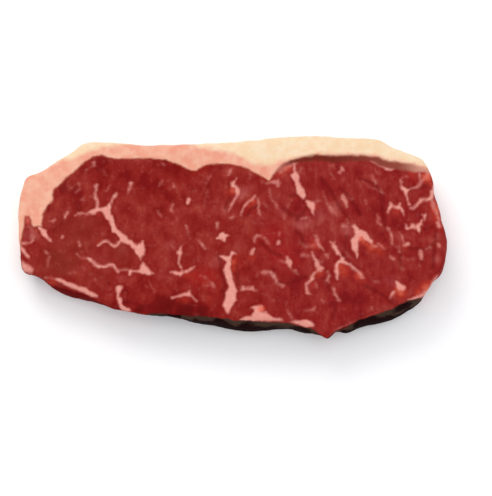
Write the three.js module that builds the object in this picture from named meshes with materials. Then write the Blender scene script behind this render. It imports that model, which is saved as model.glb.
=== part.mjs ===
// A raw sirloin steak, cut across the loin: one solid slab of lean meat with its cap of fat along the back.
// Millimetres, +Z up. It lies on its flat underside, with +X along its length and +Y towards the fat.
// The origin is under the middle of its bounding box, on the underside.

import * as THREE from 'three';
import { mergeVertices } from 'three/addons/utils/BufferGeometryUtils.js';

// ---- Driving dimensions ----

const THIN_END = 18.4; // height of the cut face above the board at the -X end
const THICK_END = 21.2; // and at the +X end
const HALF_LENGTH = 100;

// The widest outline, seen from above, anticlockwise from the middle of the +X end.
const OUTLINE = [
  [101, -4], [100, 2], [98.5, 9], [96.5, 18], [96, 26], [93.5, 33.5], [89.5, 38.5], [79.5, 42.5],
  [68.5, 47.5], [57, 48.5], [45, 49.5], [33, 49.5], [18.5, 48.5], [4, 47], [-15, 46], [-31, 45.5],
  [-44.5, 45.5], [-58, 47], [-69.5, 46], [-81, 39], [-89, 33], [-97, 28.5], [-100.5, 17.5],
  [-100.5, 8.5], [-99.5, -1], [-98.5, -9], [-96, -18], [-88, -21.5], [-76, -26.5], [-68, -29.5],
  [-61.5, -33], [-56, -36], [-47, -38.5], [-32, -40], [-16, -42], [-7, -43], [12.5, -44],
  [23.5, -44], [34.5, -46.5], [44.5, -51], [49.5, -47.5], [62.5, -41.5], [76.5, -36.5],
  [88, -32.5], [94, -25], [99.5, -17],
];

// Where the lean meat ends and the fat begins on the cut face: y for each x, from -X to +X.
// The two dips are the seams between the three muscles.
const FAT_BORDER = [
  [-98, 3], [-91, 3.5], [-88, 10], [-84, 20], [-78, 27], [-69.5, 35], [-61.5, 38.5], [-55, 36.5],
  [-37.5, 36.5], [-28, 34.5], [-21, 31], [-16, 30], [-9, 33.5], [-1.5, 33.5], [9, 30.5], [18.5, 25],
  [22, 30.5], [28, 35], [40, 37], [66, 36], [73, 33.5], [82, 31], [97, 30],
];

const FAT_STEP = 1.3; // the fat lies this much lower than the lean
const FAT_STEP_WIDTH = 4; // over this distance
const MUSCLE_SWELL = 0.9; // the lean swells up by this much in its middle and near both ends
const SWELL_SPACING = 85; // between the three swells
const SWELL_REACH = 30; // a swell is at its full height this far from the fat
const SEAMS = [[-16, 30], [18.5, 25]]; // the inner end of each seam
const SEAM_DEPTH = 1.4;
const SEAM_REACH = 15; // length of the crease that runs from a seam into the lean

// The edge all round: a lean edge is sharp above and tucked in below, and the fat is rounder above.
const LEAN_EDGE = { topInset: 2.2, topDrop: 2.6, tuck: 0.5, bottomInset: 6.5, bottomRise: 8.5 };
const FAT_EDGE = { topInset: 5, topDrop: 4.5, tuck: 0, bottomInset: 5, bottomRise: 6.5 };
const FAT_EDGE_FROM = 2; // the edge turns from lean to fat between these two values of y
const FAT_EDGE_TO = 32;
const SIDE_BULGE = 0.5;

// The -Y side isn't upright: below the rim it leans in, or spreads out where the tuck is below 0.
const SIDE_TUCKS = [
  { place: [-91, -20], reach: 10, tuck: 2.5 },
  { place: [-74, -27], reach: 13, tuck: -2.2 },
  { place: [-40, -39.5], reach: 30, tuck: 4 },
  { place: [10, -44], reach: 22, tuck: -2 },
  { place: [44.5, -51], reach: 13, tuck: 5 }, // under a small flap of lean that juts out
  { place: [70, -39], reach: 20, tuck: -3 },
  { place: [94, -26], reach: 9, tuck: 3 },
];

// The grid of faces: columns round the outline, rows from the middle of the top to the middle below.
const COLUMNS = 132;
const TOP_ROWS = 11;
const TOP_EDGE_ROWS = 5;
const WALL_ROWS = 3;
const BOTTOM_EDGE_ROWS = 4;
const UNDERSIDE_ROWS = 4;
const ROWS = TOP_ROWS + TOP_EDGE_ROWS + WALL_ROWS + BOTTOM_EDGE_ROWS + UNDERSIDE_ROWS;
const COURSE = 0.014; // share of the outline's length over which its course is measured, each way

// ---- Helpers ----

const { lerp, smoothstep } = THREE.MathUtils;

// y at x on a line through points that run from low x to high x
function heightOfLine(points, x) {
  const next = points.findIndex((point) => point[0] > x);
  if (next === 0) {
    return points[0][1];
  }
  if (next < 0) {
    return points[points.length - 1][1];
  }
  const [x0, y0] = points[next - 1];
  const [x1, y1] = points[next];
  return lerp(y0, y1, (x - x0) / (x1 - x0));
}

// 1 at the place itself, falling smoothly to 0 at the given reach
function bump(x, y, place, reach) {
  const distance = Math.hypot(x - place[0], y - place[1]);
  return 1 - smoothstep(distance, 0, reach);
}

// The columns: evenly spaced points of the outline, each with its direction inwards, square to the
// outline's course on both sides of it, so that deep insets don't cross
function outlineColumns() {
  const points = OUTLINE.map(([x, y]) => new THREE.Vector3(x, y, 0));
  const curve = new THREE.CatmullRomCurve3(points, true, 'centripetal');
  const columns = [];
  for (let column = 0; column <= COLUMNS; column += 1) {
    const along = (column % COLUMNS) / COLUMNS;
    const { x, y } = curve.getPointAt(along);
    const before = curve.getPointAt((along + 1 - COURSE) % 1);
    const after = curve.getPointAt((along + COURSE) % 1);
    const inward = new THREE.Vector2(before.y - after.y, after.x - before.x).normalize();
    columns.push({ x, y, inward, edge: edgeAt(x, y) });
  }
  return columns;
}

// ---- The form of the steak ----

// The edge's roundings at a place on the outline
function edgeAt(x, y) {
  const fat = smoothstep(y, FAT_EDGE_FROM, FAT_EDGE_TO);
  const edge = {};
  for (const size of Object.keys(LEAN_EDGE)) {
    edge[size] = lerp(LEAN_EDGE[size], FAT_EDGE[size], fat);
  }
  for (const { place, reach, tuck } of SIDE_TUCKS) {
    edge.tuck += tuck * bump(x, y, place, reach);
  }
  return edge;
}

// Height of the cut face above the board
function topHeight(x, y) {
  const slab = lerp(THIN_END, THICK_END, (x + HALF_LENGTH) / (2 * HALF_LENGTH));
  const fromBorder = y - heightOfLine(FAT_BORDER, x);
  const fatDrop = FAT_STEP * smoothstep(fromBorder, -FAT_STEP_WIDTH / 2, FAT_STEP_WIDTH / 2);
  const wave = Math.cos((Math.PI * x) / SWELL_SPACING) ** 2;
  const swell = MUSCLE_SWELL * smoothstep(-fromBorder, 0, SWELL_REACH) * wave;
  let crease = 0;
  for (const seam of SEAMS) {
    crease += SEAM_DEPTH * bump(x, y, seam, SEAM_REACH);
  }
  return slab + swell - fatDrop - crease;
}

// A point of the column, moved inwards by a distance
function insetPoint(column, inset) {
  return [column.x + column.inward.x * inset, column.y + column.inward.y * inset];
}

// The rows from the middle of the top out to where the edge starts to round
function topPoint(column, share) {
  const [rimX, rimY] = insetPoint(column, column.edge.topInset);
  const x = rimX * share;
  const y = rimY * share;
  return [x, y, topHeight(x, y)];
}

function topEdgePoint(column, share) {
  const { topInset, topDrop } = column.edge;
  const [, , rimZ] = topPoint(column, 1);
  const angle = (share * Math.PI) / 2;
  const [x, y] = insetPoint(column, topInset * (1 - Math.sin(angle)));
  return [x, y, rimZ - topDrop * (1 - Math.cos(angle))];
}

function wallPoint(column, share) {
  const [, , upperZ] = topEdgePoint(column, 1);
  const bulge = SIDE_BULGE * Math.sin(share * Math.PI);
  const [x, y] = insetPoint(column, column.edge.tuck * share - bulge);
  return [x, y, lerp(upperZ, column.edge.bottomRise, share)];
}

function bottomEdgePoint(column, share) {
  const { tuck, bottomInset, bottomRise } = column.edge;
  const angle = (share * Math.PI) / 2;
  const [x, y] = insetPoint(column, tuck + bottomInset * (1 - Math.cos(angle)));
  return [x, y, bottomRise * (1 - Math.sin(angle))];
}

// The flat underside, inwards to its middle
function undersidePoint(column, share) {
  const [x, y] = insetPoint(column, column.edge.tuck + column.edge.bottomInset);
  return [x * (1 - share), y * (1 - share), 0];
}

// The stretches of the section, in order from the middle of the top to the middle of the underside
const STRETCHES = [
  [TOP_ROWS, topPoint],
  [TOP_EDGE_ROWS, topEdgePoint],
  [WALL_ROWS, wallPoint],
  [BOTTOM_EDGE_ROWS, bottomEdgePoint],
  [UNDERSIDE_ROWS, undersidePoint],
];

function sectionPoint(column, row) {
  let rest = row;
  for (const [rows, pointOf] of STRETCHES) {
    if (rest <= rows) {
      return pointOf(column, rest / rows);
    }
    rest -= rows;
  }
  throw new Error('the row lies past the middle of the underside');
}

// A sphere's grid, with its poles at the middle of the top and of the underside, takes the steak's form.
function steakGeometry() {
  const geometry = new THREE.SphereGeometry(1, COLUMNS, ROWS);
  const position = geometry.attributes.position;
  const columns = outlineColumns();
  for (let row = 0; row <= ROWS; row += 1) {
    for (let column = 0; column <= COLUMNS; column += 1) {
      const index = row * (COLUMNS + 1) + column;
      position.setXYZ(index, ...sectionPoint(columns[column], row));
    }
  }
  geometry.deleteAttribute('normal');
  geometry.deleteAttribute('uv');
  const closed = mergeVertices(geometry);
  standOnOrigin(closed);
  closed.computeVertexNormals();
  return closed;
}

function standOnOrigin(geometry) {
  geometry.computeBoundingBox();
  const middle = geometry.boundingBox.getCenter(new THREE.Vector3());
  geometry.translate(-middle.x, -middle.y, -geometry.boundingBox.min.z);
}

// ---- The object ----

const rawMeat = new THREE.MeshStandardMaterial({ color: 0x9a3129, roughness: 0.42, metalness: 0 });

const steak = new THREE.Mesh(steakGeometry(), rawMeat);
steak.name = 'steak';

const sirloinSteak = new THREE.Group();
sirloinSteak.add(steak);

export default sirloinSteak;
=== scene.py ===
# A raw sirloin steak lying on its cut face: marbled lean meat, its cap of fat, and dark dried skin in front.
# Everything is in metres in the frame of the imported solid; sums on the cut face are in millimetres.
import itertools
import math

import bmesh
import bpy
import numpy as np
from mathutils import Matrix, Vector


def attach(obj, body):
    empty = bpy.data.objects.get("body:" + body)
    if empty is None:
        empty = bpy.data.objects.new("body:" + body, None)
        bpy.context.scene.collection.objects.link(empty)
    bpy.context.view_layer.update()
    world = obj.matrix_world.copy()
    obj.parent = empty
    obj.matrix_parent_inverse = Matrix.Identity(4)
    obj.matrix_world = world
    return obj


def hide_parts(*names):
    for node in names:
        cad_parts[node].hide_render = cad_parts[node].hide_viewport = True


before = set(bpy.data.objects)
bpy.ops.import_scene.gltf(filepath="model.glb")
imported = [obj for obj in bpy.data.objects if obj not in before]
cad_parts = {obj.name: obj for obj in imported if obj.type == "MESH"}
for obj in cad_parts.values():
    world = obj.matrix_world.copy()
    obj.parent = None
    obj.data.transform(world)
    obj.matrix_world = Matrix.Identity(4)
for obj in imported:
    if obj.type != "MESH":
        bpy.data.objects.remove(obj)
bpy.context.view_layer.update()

MM = 0.001

# ---- The slab, as the solid has it, in mm ----

THIN_END = 18.4  # height of the cut face at -X
THICK_END = 21.2  # and at +X
HALF_LENGTH = 100.0
SWELL = 0.5  # how far the middle of the cut face stands above that slope

# ---- The camera ----

VIEW_ELEVATION = math.radians(72)
VIEW_DISTANCE = 750.0  # mm
AIM_X, AIM_Y, AIM_Z = 7.1, -7.95, 20.0  # mm, what the middle of the picture shows
PICTURE_WIDTH = 492
PICTURE_HEIGHT = 496
PIXELS_AT_UNIT = 1608.75  # the focal length in pixels
MM_PER_PIXEL = VIEW_DISTANCE / PIXELS_AT_UNIT

# ---- The drawing of the cut face, in pixels of the camera's picture ----
# on_cut_face() lays it on the steak.

# The line on which fat ends and lean begins, from the left edge to the last seam between two muscles.
SHARED_BORDER = [
    (-30, 249), (19.5, 249), (20.5, 240), (22, 233), (23.4, 226), (23.8, 219.5), (25.2, 216.4),
    (28.4, 216.2), (30.6, 219), (31.2, 224.5), (32.8, 227), (37.2, 226), (42.1, 226.5), (41.6, 220),
    (42.6, 213.4), (46.4, 207), (52.9, 199.4), (52.4, 195), (53.5, 189), (60.5, 184.2), (66, 177.7),
    (75.7, 170.1), (84.4, 161.4), (93, 156.6), (101.7, 155), (107.1, 156.6), (114.7, 158.7),
    (134.2, 158.4), (151.6, 158.4), (165, 159.5), (172, 162.2), (180.3, 165.2), (187, 168.8), (192, 170.4),
    (196.6, 170.8), (199.3, 168), (206.4, 164.7), (217.2, 163.6), (228, 163.8), (240, 165.8),
    (249.7, 169.6), (258.4, 174.4), (265, 178.5), (269.2, 181),
]
# Right of that seam a brown band of painted shade, the cleft between them, parts them. Its upper line ends
# the fat, its lower one begins the lean.
FAT_LINE = [
    (272, 175), (276, 169.5), (282, 164), (290, 160.2), (300.5, 157), (316.3, 154.2), (337.4, 155.2),
    (363.7, 155), (377.4, 156.4), (384.7, 159.5), (400.5, 162.4), (414.2, 164), (422.6, 166.3),
    (430, 169.5), (492, 172),
]
LEAN_LINE = [
    (272.5, 177), (277, 172), (283.5, 167.5), (290, 164.5), (298.4, 162), (307, 161.5), (315, 160.3),
    (324.7, 161.5), (334.2, 162.4), (349, 161), (363.7, 160.5), (371, 160.5), (379.5, 165.3), (390, 168.4),
    (405.8, 170.5), (416.3, 172.1), (425.8, 171.6), (433, 173), (492, 175),
]
# Behind this line the fat shows its cream outer skin, and before it the pink face of the cut.
CREAM_LINE = [
    (-27, 191), (33, 168.5), (62, 160), (75, 158), (90, 151), (100, 148.5), (112, 145.5), (130, 143.5),
    (150, 142), (185, 141.5), (200, 147), (220, 150), (230, 153), (243, 158), (252, 163), (260, 165.5),
    (270, 164), (280, 161), (292, 159), (303, 156), (319, 153), (345, 154), (372, 155), (390, 160),
    (415, 163.5), (430, 169), (492, 172),
]
BEHIND = [(492, 30), (-30, 30)]  # closes the regions behind those lines

# The upper edge of the dried skin on the front side, round the small flap, and the region that it closes.
DRIED_LINE = [
    (147, 313), (160, 313.5), (175, 314.5), (190, 316), (205, 316.5), (220, 317.2), (235, 320.3),
    (250, 320.8), (262, 321.8), (275, 322.6), (287, 323), (295, 325), (303, 327.3), (311, 328.8),
    (315, 331), (319, 334.5), (326.5, 340), (331, 335), (335, 331.5), (341, 330), (347, 327), (353, 324),
    (360, 319.3), (367, 317.8), (375, 315.2), (385, 311.5), (393, 308), (400, 304.2), (408, 300.8),
    (413, 299.5), (424, 297.5), (430, 304),
]
IN_FRONT = [(430, 380), (147, 380)]

# Small pushes that sharpen the outline: each is (x, y, reach, to the right, down).
PUSHES = [
    (26, 176, 9, -1.2, -1.5), (86, 141, 10, -1, -2), (379, 138, 9, 1, -2), (427, 154, 10, 0.5, -2.5),
    (22, 270, 11, -2.5, 1.5), (48, 285, 15, -1.5, 2), (158, 314, 18, 0, 1), (404, 311, 15, 0.5, 2),
    (421, 300, 10, -0.5, 1.5), (437, 280, 5, -1.5, -1),
]

# Broad tones of the lean: each patch is (x, y, reach, strength).
DEEP_PATCHES = [
    (62, 186, 9, 1.0), (103, 168, 24, 0.9), (138, 170, 30, 0.6), (172, 176, 24, 0.8), (75, 195, 17, 0.6),
    (128, 300, 22, 0.9), (164, 307, 20, 1.5), (185, 313, 17, 2.0), (205, 314, 14, 1.6),
    (120, 305, 15, 0.9), (143, 309, 10, 1.5), (325, 183, 17, 0.5), (374, 205, 19, 0.8),
    (205, 182, 18, 0.4), (108, 228, 9, 0.6), (128, 251, 11, 0.5), (395, 223, 17, 0.7), (350, 300, 24, 1.0),
    (374, 290, 19, 0.6), (290, 278, 17, 0.6), (270, 300, 21, 0.5), (300, 309, 21, 0.5),
    (303, 205, 13, 0.6), (420, 275, 17, 0.5), (115, 295, 17, 0.5),
]
# Paler patches of the lean. Many of them are a painted lavender sheen where the wet fibres catch the light.
PALE_AND_SHEEN_PATCHES = [
    (245, 192, 13, 1.0), (349, 228, 11, 1.0), (318, 213, 12, 0.8), (226, 208, 12, 0.6), (30, 233, 10, 0.9),
    (166, 276, 15, 0.5), (238, 250, 15, 0.5), (438, 262, 9, 0.8), (393, 282, 10, 0.8), (289, 167, 13, 0.8),
    (438, 210, 9, 0.9), (218, 262, 12, 0.8), (303, 222, 14, 1.0), (279, 213, 8, 0.8), (252, 220, 10, 0.6),
    (104, 262, 15, 0.6), (122, 246, 12, 0.7), (124, 279, 12, 0.6), (172, 245, 14, 0.6),
    (340, 246, 10, 0.6), (334, 210, 10, 0.9), (430, 249, 8, 0.6), (245, 232, 14, 0.4),
]
BROWN_PATCHES = [
    (75, 235, 47, 0.8), (60, 264, 32, 1.0), (120, 250, 26, 0.7), (96, 280, 26, 0.6), (70, 181, 17, 0.6),
    (150, 215, 43, 0.3), (201, 235, 39, 0.3), (180, 260, 30, 0.3),
]
BRIGHT_PATCHES = [
    (205, 276, 21, 0.8), (240, 265, 17, 0.5), (275, 235, 26, 0.7), (285, 255, 21, 0.8),
    (345, 270, 15, 0.7), (415, 181, 11, 0.7), (250, 212, 9, 0.6), (434, 226, 15, 0.7), (310, 241, 13, 0.5),
]

# Marbling: closed shapes of (strength, [(x, y)]).
VEIN_SHAPES = [
    (1, [(98, 207), (103, 207.5), (107, 205.5), (110, 202), (110.5, 206), (110.5, 213), (113, 217),
     (114.5, 221), (115, 225), (118, 229), (121, 232), (125, 235), (129, 238.5), (132, 240), (134, 243),
     (137, 244.5), (140, 243), (141.5, 240.5), (143.5, 241), (144, 245), (145, 250), (145, 254.5),
     (142.5, 257), (140.5, 260.5), (138, 257), (135.5, 253.5), (134, 250), (131, 247.5), (129, 244.5),
     (125, 243.5), (119.5, 242.5), (119, 239), (117, 235.5), (115, 233.5), (111.5, 233), (111, 227.5),
     (110, 224), (108.5, 221), (105.5, 218.5), (104, 215), (102.5, 213), (100, 211.5), (97, 212),
     (95, 214.5), (92, 214.5), (89.5, 212.5), (91, 210), (95, 208.5)]),
    (0.95, [(143, 261.5), (145, 263.5), (148, 267.5), (151, 270.5), (154.5, 273.5), (150, 274.5),
     (143, 274), (138, 272.5), (132, 272.5), (130.5, 275.5), (129, 275), (128.5, 270), (134, 270),
     (139.5, 269.5), (140.5, 266)]),
    (1, [(54.5, 278), (60, 278), (65, 280), (70, 282.5), (75, 284), (80, 286), (86, 287.5), (90, 290.5),
     (95, 293), (98, 296), (97, 298), (92, 297), (88, 295), (80, 291.5), (73, 289), (68, 287), (63, 284.5),
     (58, 281.5), (55, 280)]),
    (1, [(36, 224), (39, 225.5), (41, 226.5), (43, 228.5), (45.5, 229.5), (47, 231), (46.5, 232.5),
     (47.5, 235), (49.5, 237.5), (51.5, 240.5), (53, 243), (50.5, 242), (48, 240), (45, 238), (42.5, 236),
     (41, 233.5), (40, 231), (38.5, 228.5)]),
    (0.95, [(17, 240), (19.5, 240.5), (21, 243.5), (22, 246), (24.5, 248.5), (26, 251), (28, 254.5),
     (30.5, 256.5), (30, 259), (28, 258.5), (25.5, 256.5), (23, 253.5), (21, 251), (17, 250.5)]),
    (0.82, [(22, 260), (25, 262), (28, 263.5), (31, 266), (33, 268.5), (34, 271), (33, 274), (29, 273.5),
     (24, 273), (20, 269), (20, 262)]),
    (1, [(115.5, 286.5), (118, 286), (121.5, 286), (124, 287), (122.5, 289), (121, 291), (120.5, 294),
     (119.5, 297), (121, 297.5), (122.5, 299.5), (122.5, 303), (124, 306), (126, 307.5), (129, 308),
     (130.5, 309.5), (131.5, 312.5), (128, 313), (123, 311.5), (120, 308.5), (118.5, 305.5), (117.5, 302.5),
     (117, 299.5), (117, 296), (116, 292), (115.5, 289)]),
    (0.9, [(182, 245.5), (179.5, 247.5), (178.5, 250), (176.5, 251.5), (177, 253.5), (178.5, 256),
     (178, 260), (178, 264), (179, 267), (180.5, 269.5), (180.5, 271), (178, 272), (174.5, 271),
     (171.5, 270.5), (169.5, 271.5), (170, 273), (173, 274), (176, 275), (178.5, 275.5), (180, 277.5),
     (181.5, 276.5), (183, 274.5), (185.5, 273), (188.5, 272), (191.5, 270.5), (194, 268.5), (195.5, 266),
     (193, 266.5), (190, 268), (188, 269.5), (185.5, 270.5), (184, 271), (182.5, 269), (181, 266),
     (180, 262), (180.5, 258), (181.5, 254.5), (182, 251), (182, 248)]),
    (0.85, [(170.5, 296.5), (174, 296), (178.5, 295), (181.5, 293.5), (184, 292.5), (187, 292.5),
     (189.5, 291), (191, 290), (191.5, 293), (193, 296), (195.5, 298.5), (198, 300), (198, 302), (196, 302),
     (193.5, 300), (191, 297.5), (188, 296.5), (184, 296), (180, 298), (175, 298.5), (172.5, 299.5),
     (170.5, 299)]),
    (1, [(219, 234.5), (221, 232.5), (224, 232), (225.5, 234), (228, 234), (231, 235), (226.5, 237),
     (225.5, 239.5), (225, 242.5), (223.5, 241.5), (222, 240), (219, 239.5), (217, 239), (216.5, 237.5),
     (218.5, 236.5)]),
    (1, [(229.5, 253), (231.5, 251), (234.5, 252), (235.5, 254.5), (232.5, 256), (231.5, 259), (231, 263),
     (230.5, 266), (231.5, 270), (232.5, 275), (234, 280), (235, 284.5), (235.5, 289), (238.5, 291.5),
     (236.5, 293.5), (235.5, 296), (236.5, 300.5), (234, 303.5), (232, 307), (230, 311), (228.5, 314),
     (226.5, 313.5), (224.5, 309.5), (222.5, 305), (224, 301), (225, 297), (225.5, 292.5), (227.5, 289),
     (228.5, 285.5), (227, 282), (226, 279), (224.5, 275), (223.5, 270), (224.5, 265), (226, 262),
     (224, 260), (221, 258), (218, 255.5), (221, 255), (223.5, 255), (226, 256), (229, 256),
     (229.5, 254.5)]),
    (0.92, [(239.5, 320), (244, 317), (247.5, 315.5), (251.5, 315), (253.5, 313), (254, 310), (252.5, 308),
     (250.5, 307.5), (253, 306.5), (257, 305.5), (260.5, 305), (263, 306.5), (262.5, 309), (261.5, 311),
     (263.5, 311.5), (266.5, 311.5), (268.5, 313.5), (271, 315.5), (273.5, 317), (277, 317.5), (280, 318),
     (282.5, 319.5), (283.5, 321.5), (278, 321.5), (265, 321.5), (250, 321.5), (243, 321)]),
    (1, [(290, 322), (293.5, 320.5), (298, 320), (303, 319.5), (308, 320), (312, 321.5), (314.5, 324),
     (314, 326.5), (311, 328), (305, 328), (301, 326.5), (297.5, 324.5), (293.5, 323)]),
    (0.75, [(240.5, 291), (241, 287.5), (242.5, 285), (244.5, 285.5), (246, 287), (249, 287), (252, 285.5),
     (254.5, 285.5), (255, 288.5), (255.5, 291), (251, 290.5), (247, 290), (243.5, 291)]),
    (0.8, [(253.5, 246.5), (255, 248.5), (254, 253), (252.5, 255), (250, 254.5), (249.5, 251.5),
     (251.5, 249)]),
    (1, [(355, 224), (356.5, 225.5), (358.5, 228), (360, 230), (362, 230.5), (364.5, 231), (367, 232),
     (368.5, 235), (370.5, 238), (372.5, 241), (374, 244.5), (372.5, 245.5), (369, 243), (366.5, 241),
     (363.5, 239), (361.5, 237), (360, 238.5), (359, 241), (358.5, 245), (358, 249), (357.5, 253),
     (358, 257), (357, 258.5), (356, 255.5), (354, 252), (352, 248.5), (351, 244.5), (351, 241), (352, 238),
     (354, 235.5), (354.5, 232.5), (353, 230), (352.5, 227.5), (353.5, 225)]),
    (0.95, [(389.5, 201.5), (391, 202.5), (393.5, 204.5), (396, 206), (398, 205.5), (399, 203),
     (400.5, 203), (401.5, 206.5), (402.5, 208.5), (404, 212), (404.5, 216.5), (403, 214.5), (401.5, 211.5),
     (399.5, 209.5), (396.5, 208.5), (393, 208), (391, 209), (390, 211), (389, 214.5), (387, 213.5),
     (386, 212), (387.5, 209), (388.5, 206.5), (389, 204)]),
    (0.95, [(400.5, 184), (402.5, 185), (405, 187.5), (408, 189.5), (410.5, 189), (409.5, 191),
     (408.5, 193), (408, 196), (408.5, 199), (409.5, 202), (410.5, 205.5), (408.5, 205.5), (407, 202),
     (406, 199), (405, 195.5), (403.5, 192), (401.5, 189.5), (400, 187)]),
    (0.92, [(404.5, 223.5), (406, 224), (407.5, 227), (409.5, 227), (411, 224), (413.5, 223.5),
     (415.5, 225.5), (417.5, 223), (419, 222), (421, 220), (423, 219), (422, 224), (420.5, 227), (420, 231),
     (419, 233.5), (417.5, 232), (415.5, 229.5), (413, 228.5), (410.5, 229), (408.5, 230.5), (406, 230.5),
     (405, 227.5)]),
    (0.85, [(421.5, 214.5), (424.5, 214.5), (426, 213), (426, 217), (425, 221), (423, 218.5)]),
    (0.85, [(311, 251.5), (313, 250.5), (314, 254), (316, 257.5), (318.5, 260), (320, 262.5),
     (320.5, 264.5), (322.5, 266), (324.5, 268), (323.5, 270), (320.5, 271), (317.5, 272.5), (314.5, 274.5),
     (313.5, 276), (314.5, 278.5), (313.5, 280.5), (311.5, 282), (309.5, 283.5), (308, 285.5), (308, 288.5),
     (309, 291.5), (311.5, 294.5), (308, 294.5), (305.5, 293.5), (304.5, 290), (304, 286.5), (305.5, 283.5),
     (308, 281.5), (309, 280), (309, 277), (310, 275), (313, 272), (316, 270.5), (316, 268.5), (315, 266),
     (314.5, 262), (313, 258), (311, 255)]),
    (0.9, [(329.5, 240.5), (333, 242), (335, 241), (336, 244), (337.5, 247.5), (339.5, 250.5), (340.5, 253),
     (342.5, 255.5), (344, 258), (345, 260), (347, 261), (348, 263), (351, 265), (347.5, 265.5), (344, 264),
     (341, 263.5), (339, 264), (339, 266), (339, 269), (339.5, 272.5), (339, 276), (337.5, 280),
     (336, 279.5), (335, 275.5), (334, 271), (334, 267), (335, 263.5), (337.5, 261), (340, 259.5),
     (340.5, 257.5), (339.5, 255.5), (336.5, 254.5), (334, 251), (332, 248), (331, 244.5)]),
    (0.88, [(236.5, 177), (237.5, 178.5), (236, 181), (235.5, 184), (237.5, 186), (239.5, 188.5),
     (240.5, 191.5), (239.5, 194.5), (237.5, 196.5), (236, 199), (234.5, 202), (232.5, 205), (230.5, 208.5),
     (228.5, 211.5), (228.5, 208.5), (230.5, 204.5), (232.5, 200.5), (234.5, 196.5), (235.5, 193),
     (235, 190), (234, 188), (231, 187.5), (230, 185.5), (230.5, 183), (232.5, 181.5), (235, 180)]),
    (0.85, [(254.5, 194), (256.5, 194.5), (256, 197.5), (253, 200), (250, 202), (247.5, 204.5),
     (245.5, 207), (243.5, 210), (242, 214), (240.5, 216), (240.5, 212.5), (242, 209), (243.5, 205),
     (246, 202), (249.5, 199.5), (252, 197.5), (253.5, 195.5)]),
    (0.95, [(293, 160), (296, 160), (295.5, 166), (296, 170), (297.5, 173), (299.5, 176), (299.5, 180),
     (301, 184), (303, 188), (304.5, 192), (306, 195), (305, 198), (303, 199), (300, 197), (297, 193.5),
     (296, 190), (295.5, 186), (294.5, 182), (292.5, 179), (290.5, 176.5), (291, 174.5), (293, 172.5),
     (293, 168)]),
    (0.95, [(306, 199.5), (309, 200.5), (311, 202), (313.5, 201.5), (316, 203.5), (315, 207), (314.5, 211),
     (314.5, 216.5), (312.5, 213.5), (310, 209.5), (307, 205), (305.5, 201.5)]),
    (0.66, [(267.5, 181.5), (272, 180), (275, 179), (279, 178.5), (280.5, 181), (280.5, 184),
     (279.5, 187.5), (277, 187), (274.5, 184.5), (271, 184), (268, 183)]),
    (0.85, [(370, 160), (375, 160.5), (378, 162), (381, 163.5), (384, 165.5), (387, 167), (389, 166.5),
     (391.5, 166.5), (395, 168.5), (393, 170.5), (390, 171), (387, 170.5), (384, 168.5), (380, 166.5),
     (377, 164.5), (373, 163)]),
    (0.75, [(341, 194.5), (343.5, 194), (345.5, 196.5), (348, 199), (348, 203), (348, 208), (346, 208),
     (344, 204.5), (342.5, 201.5), (341, 198.5)]),
    (0.85, [(286.5, 256.5), (288, 256), (289.5, 259), (291.5, 260.5), (292, 263), (291.5, 266),
     (291.5, 269.5), (289.5, 267.5), (287.5, 265), (285, 263.5), (285.5, 260.5)]),
    (0.95, [(395, 280.5), (397, 281), (399, 283), (401.5, 284.5), (404, 285), (406, 286.5), (405.5, 289.5),
     (403, 291), (400, 290.5), (398, 290), (396, 287.5), (395, 284)]),
    (0.8, [(393.5, 290), (396.5, 290.5), (395.5, 292.5), (394, 295), (392, 298), (390.5, 299.5),
     (389, 298.5), (389.5, 295.5), (391, 292.5)]),
]
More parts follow.
